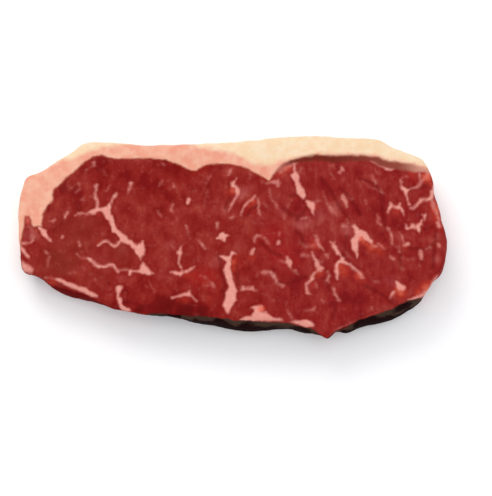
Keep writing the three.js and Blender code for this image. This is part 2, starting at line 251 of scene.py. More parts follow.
# Marbling: strokes of (strength, [(x, y, width)]).
VEINS = [
    (0.8, [(96.5, 185, 4), (96, 188.5, 3.5), (95.5, 192, 2.6), (95, 195, 3.4), (95.5, 198, 4),
    (97.5, 201.5, 4), (97.5, 205, 3.2), (97.5, 208, 4.5)]), (0.4, [(90.5, 196.5, 2), (95, 197.5, 2.6)]),
    (0.72, [(90, 212, 3.8), (86, 214.5, 3.2), (83, 213, 3.2), (78.5, 214, 2.8), (75, 215.5, 2)]),
    (0.4, [(86, 214, 2.5), (84.5, 217.5, 2)]), (0.75, [(116.5, 193.5, 3.4), (113.5, 197, 4.4),
    (111.5, 200.5, 3.2), (110.5, 203, 3)]), (0.6, [(129, 270, 2.6), (119, 270, 2.4)]),
    (0.88, [(118, 271.5, 3.6), (115, 267.5, 3.2), (113, 265, 3.6), (109, 265, 3.2), (106, 266.5, 3.2),
    (99, 266.5, 3.6), (96, 265, 3.8), (93, 261.5, 4.2), (90, 259.5, 3.8), (88, 258.5, 3)]),
    (0.55, [(88, 258.5, 2.8), (84, 258, 2.8), (80, 257, 2.6), (77, 254, 2.2)]), (0.86, [(98, 245.5, 3),
    (100, 244, 3.2), (103, 242, 3.2), (106, 241, 3.4), (109, 242, 3.4), (112, 244.5, 3.2),
    (114.5, 246, 4.2), (117, 245, 3.2), (119, 242.5, 3.4)]), (0.68, [(131, 183.5, 4), (130, 187.5, 4),
    (128.5, 191.5, 2.8)]), (0.35, [(128, 192, 2.8), (126.5, 196.5, 2.6)]), (0.48, [(109.5, 185, 2.4),
    (108.5, 188, 3), (107, 191, 2.4)]), (0.5, [(83, 197, 3), (82, 199.5, 3.6)]), (0.5, [(78, 183.5, 2.6),
    (80, 187, 3.2), (78.5, 190.5, 2.6), (76, 192, 2)]), (0.38, [(67.5, 182, 2.4), (68, 185, 2.6),
    (71, 188, 2.6)]), (0.6, [(93.5, 162.5, 3.4), (94, 166, 3)]), (0.42, [(94, 166, 2.4), (90, 168, 2.4),
    (87, 169, 2.8), (85.5, 172, 2), (85, 176.5, 1.8)]), (0.36, [(101, 170, 2.6), (105, 173, 3)]),
    (0.36, [(110, 160, 2.4), (112.5, 162.5, 2.8)]), (0.72, [(67, 213, 3.6), (65, 215.5, 3.4),
    (64.5, 217.5, 2.2)]), (0.72, [(50, 221, 2.2), (53, 221, 3.6), (55, 220, 2.4)]), (0.8, [(63, 236, 3),
    (62, 237.5, 3.2)]), (0.64, [(79, 242, 2.8), (80, 246, 2.6)]), (0.42, [(86, 246.5, 2.2),
    (86.5, 250, 2.4), (88, 253, 2)]), (0.6, [(45, 250, 2.2), (47.5, 253.5, 3.2)]), (0.55, [(49.5, 257, 2.6),
    (48, 261.5, 2.8), (48.5, 265.5, 2.2)]), (0.45, [(70, 274.5, 3.2), (72, 272.5, 2.8)]),
    (0.4, [(75, 271.5, 3), (76.5, 272.5, 2.6)]), (0.4, [(95, 280, 3), (96, 280.5, 3)]),
    (0.5, [(35.5, 231, 2.6), (34.5, 235.5, 2.2)]), (0.4, [(27, 218, 5), (28, 225, 6), (31, 230, 6.5),
    (33, 236, 7), (30, 241, 5)]), (0.75, [(18, 242.5, 4), (22, 243, 3.6), (28, 243, 2.6), (31, 242, 2.4),
    (33, 239.5, 2)]), (0.5, [(45.5, 277.5, 3), (50, 278, 3.4), (55, 279, 3.4)]), (0.42, [(148.5, 281, 2),
    (152, 287, 2.2), (154.5, 291, 2)]), (0.45, [(163, 164, 3), (164.5, 165.5, 3)]),
    (0.5, [(162, 180.5, 3.2), (160.5, 183.5, 3), (159.5, 186, 2)]), (0.58, [(173.5, 184, 3.6),
    (173.5, 186, 3.4)]), (0.48, [(210.5, 175, 2), (208.5, 178.5, 3), (206.5, 183, 2.8)]),
    (0.38, [(208.5, 189.5, 2.8), (206.5, 193, 2.8)]), (0.4, [(189, 193, 2.2), (189, 197, 3.2)]),
    (0.92, [(188.5, 199, 4.2), (188, 202.5, 4)]), (0.35, [(196, 191, 2.4), (193.5, 193, 3)]),
    (0.4, [(205.5, 200.5, 2.6), (205, 204, 2.8), (204, 207.5, 2.4)]), (0.35, [(214.5, 205.5, 2.4),
    (214.5, 211.5, 2.4)]), (0.62, [(173, 204.5, 2.8), (171, 208, 2.6), (171.5, 210.5, 3.6),
    (173, 211.5, 3)]), (0.5, [(157, 211, 2.2), (160, 214.5, 3.2), (161.5, 216.5, 2.4)]),
    (0.35, [(191.5, 210, 2.6), (190.5, 212.5, 2.8)]), (0.58, [(217, 222.5, 3.4), (217, 227, 3.2)]),
    (0.48, [(171.5, 245.5, 2), (173, 247.5, 3.4), (175.5, 250, 2)]), (0.58, [(185.5, 226, 2.4),
    (187, 229, 3.6), (188, 232.5, 2.2)]), (0.4, [(188.5, 235.5, 2.4), (190, 239.5, 2.6)]),
    (0.6, [(199.5, 240.5, 2.2), (202, 244, 3.4), (204.5, 248.5, 2.4)]), (0.38, [(197, 255.5, 2.4),
    (198.5, 260.5, 3)]), (0.35, [(182, 246, 2.6), (184.5, 243.5, 2)]), (0.5, [(200.5, 275.5, 2.4),
    (205, 277.5, 3), (208.5, 280.5, 2.4), (213, 284, 2.6)]), (0.62, [(212.5, 283.5, 3.4), (213.5, 286, 4)]),
    (0.45, [(203, 286, 2.6), (212, 285.5, 3)]), (0.75, [(316.5, 236, 3), (317, 240, 4.2), (318, 244, 3.8),
    (320, 247, 3.6), (323.5, 250, 2.4)]), (0.42, [(321.5, 261.5, 3.6), (322, 262.5, 3.2)]),
    (0.68, [(328, 271.5, 2.6), (328.5, 276, 3.6), (327.5, 280, 3.6), (329.5, 282, 2.6)]),
    (0.38, [(325, 282, 3), (325.5, 283.5, 3)]), (0.68, [(334, 289, 3), (334.5, 293, 3.6),
    (336.5, 296.5, 3.6), (339, 300, 3.2)]), (0.45, [(316.5, 282.5, 2.8), (317, 288, 3.4)]),
    (0.8, [(350, 264.5, 3.4), (353, 267.5, 4), (357, 271, 4), (360, 274, 4), (362.5, 278, 3.2)]),
    (0.6, [(359.5, 272.5, 4), (362, 275.5, 4)]), (0.38, [(304, 245, 6), (312, 246, 6), (318, 243, 5)]),
    (0.58, [(326.5, 255, 4.6), (327.5, 257, 4.4)]), (0.52, [(302.5, 255, 5.5), (307, 256, 5)]),
    (0.35, [(299.5, 241, 3.6), (299.5, 244, 3.6)]), (0.4, [(305.5, 246, 5), (309, 247, 4.4)]),
    (0.5, [(294.5, 270.5, 3.6), (296, 271.5, 4), (298, 274, 2.6)]), (0.36, [(346, 251.5, 4), (349, 256, 5),
    (352, 259.5, 4)]), (0.62, [(258, 199.5, 3.2), (259, 203, 4), (258.5, 206.5, 2.6), (258.5, 209, 2.8),
    (259, 212, 3.4), (260.5, 215, 2.4)]), (0.52, [(314, 202, 3.4), (317, 201, 3.8), (320.5, 200.5, 2.8)]),
    (0.42, [(262.5, 181, 3.4), (268, 184, 3)]), (0.4, [(250, 169.5, 2.4), (250.5, 175, 3),
    (249.5, 178.5, 2.4)]), (0.48, [(269, 189.5, 3), (270.5, 197, 3.2), (274.5, 202.5, 3.4), (276, 205, 4),
    (277.5, 209, 3)]), (0.45, [(291.5, 200.5, 2.4), (288.5, 205, 3.2), (287.5, 207.5, 2.4)]),
    (0.36, [(264, 203, 4), (269, 208.5, 4.4)]), (0.68, [(228.5, 174.5, 3), (230.5, 171.5, 4),
    (231.5, 169, 2.6)]), (0.62, [(231, 218, 4), (233, 217, 4.6)]), (0.48, [(284.5, 216, 4.4),
    (285, 218.5, 4)]), (0.42, [(301.5, 219, 4.4), (308, 218, 4.6), (311, 221.5, 3.6)]),
    (0.4, [(322.5, 191.5, 2.8), (325, 197, 3.4), (327.5, 203, 4.4)]), (0.5, [(327.5, 203.5, 5),
    (330.5, 208.5, 6), (335.5, 213.5, 5)]), (0.4, [(322, 216.5, 4), (322.5, 218.5, 4)]),
    (0.42, [(329, 163, 2.8), (330.5, 171, 2.6), (333.5, 178.5, 2.8)]), (0.4, [(333, 165.5, 4.4),
    (334, 167.5, 4)]), (0.66, [(341.5, 166.5, 3), (342.5, 170.5, 5), (340, 172.5, 4)]),
    (0.42, [(348.5, 197.5, 3.4), (352, 199, 3.4)]), (0.5, [(365.5, 200, 2.6), (366.5, 203.5, 3.4)]),
    (0.42, [(346.5, 219, 3), (349, 222.5, 3)]), (0.52, [(372.5, 175.5, 2), (374, 179.5, 3.4),
    (375.5, 183.5, 2.4)]), (0.45, [(375, 168, 2.2), (376.5, 171.5, 3.2), (380, 174, 2.4)]),
    (0.48, [(380.5, 189.5, 2.8), (383.5, 193.5, 3.4)]), (0.36, [(362.5, 181.5, 3.4), (370, 186.5, 4),
    (378, 190.5, 3.4)]), (0.36, [(356.5, 181, 2.6), (358.5, 183, 3.4), (361, 187, 2.6)]),
    (0.62, [(377, 215, 3), (378.5, 218.5, 3.8), (377.5, 222, 3.2), (380.5, 225.5, 2.6)]),
    (0.68, [(419.5, 172.5, 2.4), (420, 177, 2.8), (421, 181, 3.6), (420, 185, 2.8), (417.5, 187.5, 3.2),
    (413, 188.5, 3), (410, 189, 2)]), (0.8, [(421, 180, 3.6), (421.5, 182.5, 3.4)]),
    (0.68, [(422, 180.5, 3), (425, 178.5, 3), (427.5, 175, 5), (428, 171, 6)]), (0.52, [(400, 179.5, 2.2),
    (403, 177, 2.4), (407, 176.5, 2.8)]), (0.6, [(400, 179.5, 2.4), (401.5, 182, 2.6), (402, 185, 3)]),
    (0.85, [(410, 208.5, 2.6), (412.5, 209, 4), (415.5, 206.5, 3.6), (418, 203.5, 3.8), (420.5, 200.5, 4.8),
    (423.5, 199.5, 4.2), (426, 200, 3.6), (429, 199, 4)]), (0.95, [(429, 199, 3.4), (431.5, 196.5, 5),
    (433, 192.5, 5), (434.5, 189, 4), (434, 185.5, 3)]), (0.55, [(431.5, 199.5, 4.6), (432.5, 205, 3.6)]),
    (0.62, [(386.5, 227.5, 2.4), (388.5, 229, 3.6), (390, 232, 2.8)]), (0.66, [(391, 233.5, 3),
    (392, 237.5, 3.4), (391.5, 241.5, 2.8), (392, 244, 2.6)]), (0.45, [(392, 244, 2.4), (395.5, 247, 2.4),
    (399.5, 247, 2.6)]), (0.58, [(399.5, 247, 2.8), (400, 252, 2.8)]), (0.6, [(399, 232, 2.6),
    (402, 236.5, 3), (403.5, 243, 2.8)]), (0.36, [(347.5, 219, 3), (348.5, 221, 3)]),
    (0.55, [(342.5, 225.5, 4.4), (346.5, 226.5, 4.4)]), (0.68, [(373.5, 245.5, 4), (376.5, 246, 3.4)]),
    (0.68, [(378, 243.5, 2.6), (380.5, 245, 3.2), (384, 248.5, 2.6)]), (0.58, [(390.5, 256.5, 2.6),
    (393, 258.5, 3.8)]), (0.8, [(437.5, 222.5, 4), (439, 226.5, 5)]), (0.6, [(431, 199.5, 5),
    (434, 206.5, 5.4), (437, 214, 4.4), (439.5, 220, 3.4)]), (0.36, [(438, 234.5, 4), (438, 238, 4)]),
    (0.85, [(404, 245.5, 3.4), (407.5, 244, 4.6)]), (0.75, [(438, 244, 3.6), (439, 245.5, 3.6)]),
    (0.5, [(427, 249, 4), (429.5, 247, 4)]), (0.76, [(420.5, 251, 3.4), (421, 254.5, 4.4),
    (422, 259, 2.8)]), (0.46, [(403, 257.5, 3), (407.5, 259.5, 3), (413, 259, 3)]),
    (0.38, [(419.5, 263.5, 3), (420, 265.5, 3)]), (0.42, [(401.5, 268, 4), (403.5, 269.5, 4)]),
    (0.38, [(374.5, 281.5, 6), (378, 281.5, 5.5)]), (0.36, [(371.5, 308, 4), (373, 310, 4)]),
    (0.85, [(437.5, 276, 3.4), (435, 281, 4.8), (432, 286, 6.4)]), (0.85, [(432, 286.5, 5), (429, 291, 6),
    (423.5, 295, 5.6), (416, 298, 3.8), (409, 300, 2.6)]), (0.5, [(334, 330, 2.4), (340, 328.5, 3.2),
    (347, 326, 3), (352, 323, 2.2)]), (0.52, [(287, 310.5, 2.6), (289, 313.5, 3.6), (291.5, 317, 3.2),
    (292, 319.5, 2)]), (0.4, [(304.5, 310.5, 2.4), (309, 310, 2.8)]), (0.6, [(309, 310, 2.8),
    (313.5, 309.5, 3.8), (315.5, 307, 2.8)]), (0.35, [(315, 311, 2.4), (317.5, 313.5, 2)]),
    (0.4, [(286, 302, 2.8), (286.5, 304.5, 3)]), (0.5, [(322, 300, 3.4), (324, 301.5, 4)]),
    (0.36, [(267, 295, 2.4), (270.5, 298, 3), (274, 300.5, 2.4)]), (0.4, [(255, 289.5, 3),
    (258, 291.5, 2.8), (262, 294, 2.2)]), (0.66, [(254.5, 241, 2.6), (255, 237.5, 3.6), (257, 236, 3.8),
    (260, 236, 3)]), (0.55, [(260, 236, 2.8), (264, 238, 3), (267, 241.5, 3.8), (269.5, 244, 2.6)]),
    (0.5, [(279.5, 232.5, 3.6), (279, 235, 3.4)]), (0.8, [(278.5, 241.5, 4), (278.5, 243.5, 4.4)]),
    (0.48, [(279.5, 260.5, 2.6), (283, 262, 3.2), (286, 262.5, 3.4)]), (0.5, [(291, 269, 2.6),
    (293.5, 271, 3)]), (0.4, [(257, 276.5, 2.6), (258.5, 273.5, 3.6), (262, 272.5, 3.8)]),
    (0.62, [(262, 272.5, 3.8), (266, 272, 4.2), (270, 272.5, 4.4), (272.5, 275, 5), (274.5, 279, 4.8),
    (276.5, 282, 4.4)]), (0.62, [(276.5, 282, 3.8), (279, 284.5, 3.6), (282.5, 286, 4.2)]),
    # The two wide, faint strokes below, by the seam, are a painted pinkish sheen drawn like marbling.
    (0.36, [(298, 176, 6), (301, 169, 7)]), (0.55, [(281, 172, 5), (287, 166, 7), (296, 162.5, 5)]),
]
# Places of (x, y, reach, strength) where fat shines through thin meat.
GLOWS = [
    (233.5, 262, 5.5, 0.8), (233.5, 268, 5, 0.55), (226.5, 270.5, 3.6, 0.3), (360.5, 238.5, 5, 1.15),
    (363.5, 241, 5.5, 0.85), (367.5, 244, 5.5, 0.7), (340.5, 266.5, 6.5, 0.75), (343.5, 270.5, 9, 0.65),
    (315, 245, 7.5, 0.6), (313, 241, 6, 0.35), (319, 273, 7.5, 0.6), (313, 284.5, 6.5, 0.4),
    (318.5, 267.5, 4, 0.5), (252.5, 257, 6, 0.45), (400.5, 292, 7, 0.95), (400, 297.5, 6, 0.4),
    (405, 293.5, 6, 0.4), (397.5, 289, 5, 0.8), (372, 247.5, 7.5, 0.8), (379.5, 249.5, 9, 0.6),
    (404.5, 247, 6, 0.45), (396, 211.5, 7.5, 0.45), (233, 190.5, 6, 0.85), (229.5, 194, 6, 0.4),
    (252.5, 201, 5, 0.75), (249, 205.5, 5, 0.45), (287, 167, 7, 0.9), (281.5, 173.5, 7, 0.5),
    (286, 176, 6, 0.3), (426.5, 288, 8, 1), (419, 293, 6.5, 0.75), (423.5, 176.5, 4.5, 0.9),
    (428, 177, 8, 1.15), (413, 174, 7.5, 0.45), (431, 183, 6, 0.65), (434, 203.5, 8, 0.6),
    (436.5, 209.5, 8, 0.9), (438, 217, 8, 0.7), (440, 225, 8, 0.5), (98, 214, 4, 0.35),
    (316.5, 206, 4.5, 0.45), (261, 309, 5, 1.25), (359, 276, 6.5, 0.8), (363, 281, 6, 0.4),
    (185, 299, 9, 0.4), (186, 274.5, 7.5, 0.45), (193, 275, 9, 0.3), (52.5, 282, 7, 0.55),
    (27.5, 220, 7, 0.75), (318, 243.5, 4.5, 0.4), (98.5, 242, 7.5, 0.25), (429.5, 283.5, 6, 0.6),
    (434.5, 277.5, 4.5, 0.45), (236, 256, 4.5, 0.4), (337, 268, 4, 0.8), (209, 300, 6, 0.35),
]

# Creases in the lean, most of them in its torn right-hand half: runs of (x, y). Painted shade darkens the
# lean along them.
CREASES = [
    [(359.5, 179.5), (370, 181.6), (379.5, 189), (381.6, 193.2)],
    [(405.8, 189), (416.3, 188.4), (427.9, 185.8)], [(290, 196.3), (299.5, 194.2), (305, 199)],
    [(296.3, 231), (301.6, 235.3), (303, 243)], [(436, 226), (435.5, 240), (434, 255), (432.5, 268)],
    [(342.6, 254.2), (349, 262.6), (357.4, 271), (363.7, 276.3)],
    [(276, 282), (284, 284.5), (298.4, 280.5), (305.8, 277.4)], [(425, 229), (431, 227), (437, 226.5)],
    [(380.5, 193.2), (382.6, 214.2), (385, 226)], [(401, 247), (400.5, 257), (401, 268)],
    [(229.5, 184), (230, 196), (226, 207)], [(247.5, 214.5), (253, 208), (258, 206)],
    [(219.4, 256), (221, 270), (225, 283), (224, 296)], [(236.7, 262), (237, 274), (238.5, 285)],
    [(334, 302.6), (335, 310), (333, 318)], [(318, 275), (327, 281), (329, 290)],
    [(308, 205), (302, 214), (296, 220)], [(347, 236), (345, 246), (349, 254)],
    [(262, 243), (270, 251), (281, 256)], [(366, 248), (374, 252), (386, 251)],
    [(341, 188), (352, 200), (360, 214)], [(322, 178), (330, 190), (340, 207), (348, 219)],
    [(404, 247.5), (413, 248.5), (424, 249.5), (431, 246), (436, 241.5)],
    [(366, 286), (378, 292), (392, 302)], [(283, 208), (290, 214), (300, 217)],
    [(120, 300), (140, 306), (165, 309)],
]


# ---- Sums on points in mm ----

def smoothstep(value, low, high):
    share = np.clip((value - low) / (high - low), 0, 1)
    return share * share * (3 - 2 * share)


def noise(points, size, seed):
    """Perlin noise, about -1 to 1, that wanders over `size` millimetres."""
    tile = 32  # cells, after which it repeats
    gain = 1.6  # brings it to that range
    slopes = np.random.default_rng(seed).normal(size=(tile, tile, tile, 3))
    slopes /= np.linalg.norm(slopes, axis=3, keepdims=True)
    cell = points / size
    low = np.floor(cell).astype(int)
    part = cell - low
    fade = part * part * part * (part * (part * 6 - 15) + 10)
    total = np.zeros(len(points))
    for corner in itertools.product((0, 1), repeat=3):
        slope = slopes[tuple(((low + corner) % tile).T)]
        reach = np.where(corner, fade, 1 - fade).prod(axis=1)
        total += reach * (slope * (part - corner)).sum(axis=1)
    return total * gain


def cut_face_height(x):
    return THIN_END + (THICK_END - THIN_END) * (x + HALF_LENGTH) / (2 * HALF_LENGTH)


def on_cut_face(x, y):
    """The place in mm at which the camera's ray through a pixel of the picture meets the cut face."""
    across = (x - PICTURE_WIDTH / 2) / PIXELS_AT_UNIT
    upward = (PICTURE_HEIGHT / 2 - y) / PIXELS_AT_UNIT
    away, up = math.cos(VIEW_ELEVATION), math.sin(VIEW_ELEVATION)
    eye_x, eye_y, eye_z = AIM_X, AIM_Y - VIEW_DISTANCE * away, AIM_Z + VIEW_DISTANCE * up
    run_y, run_z = away + upward * up, upward * away - up
    slope = (THICK_END - THIN_END) / (2 * HALF_LENGTH)
    reach = (cut_face_height(eye_x) + SWELL - eye_z) / (run_z - slope * across)
    return eye_x + reach * across, eye_y + reach * run_y


def laid_out(drawing):
    """A drawn run in mm: each point's place on the cut face, and its width or reach if it has one."""
    return [on_cut_face(x, y) + tuple(size * MM_PER_PIXEL for size in sizes) for x, y, *sizes in drawing]


def turned(points, degrees, stretch):
    """The points turned about z, then shortened along y so that a noise on them runs along y."""
    angle = math.radians(degrees)
    x, y, z = points.T
    across = x * math.cos(angle) + y * math.sin(angle)
    along = y * math.cos(angle) - x * math.sin(angle)
    return np.column_stack([across, along / stretch, z])


def from_segment(x, y, start, end):
    """Distance to a straight run, and how far along it the nearest place lies, from 0 to 1."""
    dx, dy = end[0] - start[0], end[1] - start[1]
    along = np.clip(((x - start[0]) * dx + (y - start[1]) * dy) / (dx * dx + dy * dy), 0, 1)
    return np.hypot(x - start[0] - along * dx, y - start[1] - along * dy), along


FAR = 50.0  # mm, stands for any greater distance


def distance_to_lines(x, y, lines):
    gap = np.full(x.shape, FAR)
    for line in lines:
        for start, end in itertools.pairwise(line):
            gap = np.minimum(gap, from_segment(x, y, start, end)[0])
    return gap


def depth_inside(x, y, outline, drawn):
    """How deep inside a closed outline a point lies, counted from its drawn part. It is under 0 outside."""
    inside = np.zeros(x.shape, bool)
    for (x0, y0), (x1, y1) in zip(outline, outline[1:] + outline[:1]):
        if y0 != y1:
            inside ^= ((y0 > y) != (y1 > y)) & (x < (x1 - x0) * (y - y0) / (y1 - y0) + x0)
    gap = distance_to_lines(x, y, [drawn])
    return np.where(inside, gap, -gap)


def depth_behind(x, y, line):
    drawn = laid_out(line)
    return depth_inside(x, y, drawn + laid_out(BEHIND), drawn)


def depth_in_shape(x, y, outline):
    return depth_inside(x, y, outline, outline + outline[:1])


def depth_in_stroke(x, y, stroke):
    depth = np.full(x.shape, -FAR)
    for start, end in itertools.pairwise(stroke):
        gap, along = from_segment(x, y, start, end)
        depth = np.maximum(depth, (start[2] + (end[2] - start[2]) * along) / 2 - gap)
    return depth


VEIN_REACH = 2.8  # mm, how far a strong vein deepens the red beside it
STRONG_VEIN = 0.8  # from this strength on


def marbling_at(x, y, swell):
    """How much fat shows at each point, and how near it lies to a strong vein, both from 0 to 1."""
    cover = np.zeros(x.shape)
    beside = np.zeros(x.shape)
    for drawing, depth_of in ((VEIN_SHAPES, depth_in_shape), (VEINS, depth_in_stroke)):
        for strength, run in drawing:
            points = laid_out(run)
            low_x, low_y = np.min(points, axis=0)[:2] - VEIN_REACH
            high_x, high_y = np.max(points, axis=0)[:2] + VEIN_REACH
            near = (x > low_x) & (x < high_x) & (y > low_y) & (y < high_y)
            depth = depth_of(x[near], y[near], points) + swell[near]
            # A faint vein is wider and has a softer edge.
            soft = 1.35 - 0.5 * strength
            share = np.clip(0.7 - 0.2 * strength + 0.5 * depth / soft, 0, 1)
            cover[near] = np.maximum(cover[near], strength * share)
            if strength >= STRONG_VEIN:
                beside[near] = np.maximum(beside[near], smoothstep(depth, -VEIN_REACH, 0.2))
    return cover, beside


PATCH_FALL = 1.4  # how steeply a patch fades: at its reach a quarter of it is left


def strength_of_patches(x, y, patches):
    strength = np.zeros(x.shape)
    for *place, amount in patches:
        (middle_x, middle_y, reach), = laid_out([place])
        away = np.hypot(x - middle_x, y - middle_y) / reach
        strength = np.maximum(strength, amount * np.exp(-PATCH_FALL * away ** 2))
    return strength


# ---- Where each tissue lies ----

TISSUES = (
    "fat", "lean", "cleft_shade", "cream", "marbling", "beside", "glow", "crease", "dried", "torn", "deep",
    "rim", "pale", "brown", "bright",
)
FRONT_FROM, FRONT_TO = 5, 15  # mm before the middle, between which the walls turn into the front side
TOP_REACH = 3  # mm below the cut face, as far as the drawing follows the camera's slant on every side
FRONT_REACH = 30  # mm further down that it does so on the front side
SIDE_FROM, SIDE_TO = 2, 5  # mm below the cut face, between which painted shade darkens the front side
RIM_FROM, RIM_TO = 0.8, 2.8  # mm below the cut face, between which its wet sheen ends
SKIN_FROM = 6.5  # mm below the cut face, where the cream outer skin of the fat begins
CLEFT_SHADE_EDGE = 1.5  # mm, how softly the painted shade of the cleft begins and ends
TORN_FROM, TORN_TO = -6, 34  # mm along the steak, between which the smooth cut turns into a torn one


def tissue_at(points, normals):
    """The tissues at points of the steak.

    Fat, lean, cream and dried are the mm that a point lies inside them, crease is the mm to the nearest
    crease, and the rest are strengths.
    """
    x, y, z = points.T
    below_face = cut_face_height(x) + SWELL - z
    wall = smoothstep(1 - np.abs(normals[:, 2]), 0.1, 0.4)
    front = wall * smoothstep(-y, FRONT_FROM, FRONT_TO)
    # The drawing lies where the camera sees it, all the way down the front.
    y = y - np.clip(below_face, -1, TOP_REACH + FRONT_REACH * front) / math.tan(VIEW_ELEVATION)
    # Seams and veins run down through the slab and drift a little on the way.
    sunk = np.clip(1 - z / THIN_END, 0, 1)
    flat = np.column_stack([x, y, np.zeros(len(x))])
    broad_x = x + 3.5 * noise(flat, 11, 9)
    broad_y = y + 3.5 * noise(flat, 11, 10)
    x = x + sunk * 7 * noise(flat, 45, 1) + 0.35 * noise(flat, 4.5, 2) + 0.25 * noise(flat, 1.7, 3)
    y = y + sunk * 5 * noise(flat, 45, 4) + 0.35 * noise(flat, 4.5, 5) + 0.25 * noise(flat, 1.7, 6)
    fat = depth_behind(x, y, SHARED_BORDER + FAT_LINE)
    lean = -depth_behind(x, y, SHARED_BORDER + LEAN_LINE)
    marbling, beside = marbling_at(x, y, 0.35 * noise(flat, 2.4, 7))
    # Painted shade: going down the front side the lean darkens and its marbling fades.
    side = smoothstep(below_face, SIDE_FROM, SIDE_TO) * front
    # Where the painted shade of the cleft between fat and lean lies.
    covered = smoothstep(np.minimum(-fat, -lean), -CLEFT_SHADE_EDGE, CLEFT_SHADE_EDGE)
    dried_line = laid_out(DRIED_LINE)
    return {
        "fat": fat,
        "lean": lean,
        "cleft_shade": covered * smoothstep(-fat - lean, 0.1, 1.8),
        "cream": depth_behind(x, y, CREAM_LINE) + 3 * wall * np.maximum(below_face - SKIN_FROM, 0),
        "marbling": marbling * (1 - 0.7 * side),
        "beside": beside,
        "glow": strength_of_patches(x, y, GLOWS),
        "crease": distance_to_lines(x, y, map(laid_out, CREASES)),
        "dried": depth_inside(x, y, dried_line + laid_out(IN_FRONT), dried_line),
        "torn": smoothstep(x + 6 * noise(flat, 20, 8), TORN_FROM, TORN_TO),
        # Darker patches, plus the painted shade of the front side.
        "deep": strength_of_patches(broad_x, broad_y, DEEP_PATCHES) + 1.8 * side,
        "rim": smoothstep(below_face, RIM_FROM, RIM_TO) * smoothstep(normals[:, 2], -0.8, -0.4),
        "pale": strength_of_patches(broad_x, broad_y, PALE_AND_SHEEN_PATCHES),
        "brown": strength_of_patches(broad_x, broad_y, BROWN_PATCHES),
        "bright": strength_of_patches(broad_x, broad_y, BRIGHT_PATCHES),
    }


# ---- The form ----

FINE = 0.00103  # m, the grid of the sides and underside; the cut face has half of it
RIM_DEPTH = 3.2  # mm, how far down the sides the finer grid reaches
FLAP = 44.6  # mm, where along the front a small flap of lean juts out
FLAP_FROM, FLAP_TO = 36, 43  # mm before the middle, between which its shape sets in
# Its humps at the rim and, lower down, on the wall: each is (mm outwards, mm along from the flap, reach).
FLAP_RIM = [(1.1, 0, 1.9), (-1.2, -6, 3), (-0.3, 6, 3)]
FLAP_WALL = [(1.7, 9.5, 4.5), (0.8, -8, 5)]
RIM_ENDS, WALL_BEGINS = 3, 6.5  # mm below the cut face


def mesh_object(name, mesh):
    made = bpy.data.objects.new(name, mesh)
    bpy.context.collection.objects.link(made)
    return made


def apply_modifiers(steak):
    finished = bpy.data.meshes.new_from_object(steak.evaluated_get(bpy.context.evaluated_depsgraph_get()))
    steak.modifiers.clear()
    steak.data = finished


def rounded_slab(solid):
    """A copy of the solid with its facets rounded off and an even grid all over."""
    work = bmesh.new()
    work.from_mesh(solid.data)
    bmesh.ops.remove_doubles(work, verts=work.verts, dist=1e-6)
    mesh = bpy.data.meshes.new("steak_meat")
    work.to_mesh(mesh)
    work.free()
    steak = mesh_object("steak_meat", mesh)
    rounding = steak.modifiers.new("rounding", "SUBSURF")
    rounding.levels = rounding.render_levels = 1
    grid = steak.modifiers.new("grid", "REMESH")
    grid.mode = "VOXEL"
    grid.voxel_size = FINE
    apply_modifiers(steak)
    return steak


def refine_cut_face(steak):
    work = bmesh.new()
    work.from_mesh(steak.data)
    edges = set()
    for face in work.faces:
        middle = face.calc_center_median() / MM
        if cut_face_height(middle.x) - middle.z < RIM_DEPTH:
            edges.update(face.edges)
    in_order = sorted(edges, key=lambda edge: edge.index)
    bmesh.ops.subdivide_edges(work, edges=in_order, cuts=1, use_grid_fill=True)
    work.to_mesh(steak.data)
    work.free()


def points_of(mesh):
    flat = np.empty(len(mesh.vertices) * 3)
    mesh.vertices.foreach_get("co", flat)
    return flat.reshape(-1, 3) / MM


def normals_of(mesh):
    flat = np.empty(len(mesh.vertices) * 3)
    mesh.vertex_normals.foreach_get("vector", flat)
    return flat.reshape(-1, 3)


def relief_of_cut_face(points, tissue):
    """Height in mm that the cut face gains at each point."""
    flat = points * (1, 1, 0)
    lean, marbling, torn = tissue["lean"], tissue["marbling"], tissue["torn"]
    in_lean = smoothstep(lean, -0.4, 0.8)
    height = 0.3 * noise(flat, 24, 11) + 0.18 * noise(flat, 9, 12)
    height -= 0.06 * np.exp(-(lean / 1.1) ** 2)
    height += in_lean * 0.1 * marbling
    height -= in_lean * 0.18 * np.exp(-(tissue["crease"] / 1.2) ** 2)
    smooth_half = 0.05 * noise(turned(flat, -6, 3), 1.6, 13) + 0.06 * noise(flat, 3.5, 14)
    fibres = 1 - np.abs(noise(turned(flat, 27, 3.2), 3.2, 15)) * 2.2
    lumps = noise(turned(flat, 20, 1.6), 6.5, 16)
    torn_half = 0.13 * fibres + 0.36 * lumps + 0.09 * noise(turned(flat, 30, 2), 1.5, 17)
    height += in_lean * (smooth_half * (1 - torn) + torn_half * torn)
    return height + (1 - in_lean) * (0.12 * noise(flat, 6, 18) + 0.04 * noise(flat, 1.8, 19))


def humps(x, drawn):
    return sum(out * np.exp(-((x - (FLAP + along)) / reach) ** 2) for out, along, reach in drawn)


def pushed(points):
    """The points after small pushes: the outline's corners sharpen, and a flap in front comes to a point."""
    x, y, z = points.T
    moved = points.copy()
    for *place, right, down in PUSHES:
        (middle_x, middle_y, reach), = laid_out([place])
        share = np.exp(-((x - middle_x) ** 2 + (y - middle_y) ** 2) / reach ** 2)
        moved[:, 0] += right * MM_PER_PIXEL * share
        moved[:, 1] -= down * MM_PER_PIXEL * share
    low = smoothstep(cut_face_height(x) - z, RIM_ENDS, WALL_BEGINS)
    outwards = humps(x, FLAP_RIM) * (1 - low) + humps(x, FLAP_WALL) * low
    moved[:, 1] -= smoothstep(-y, FLAP_FROM, FLAP_TO) * outwards
    return moved


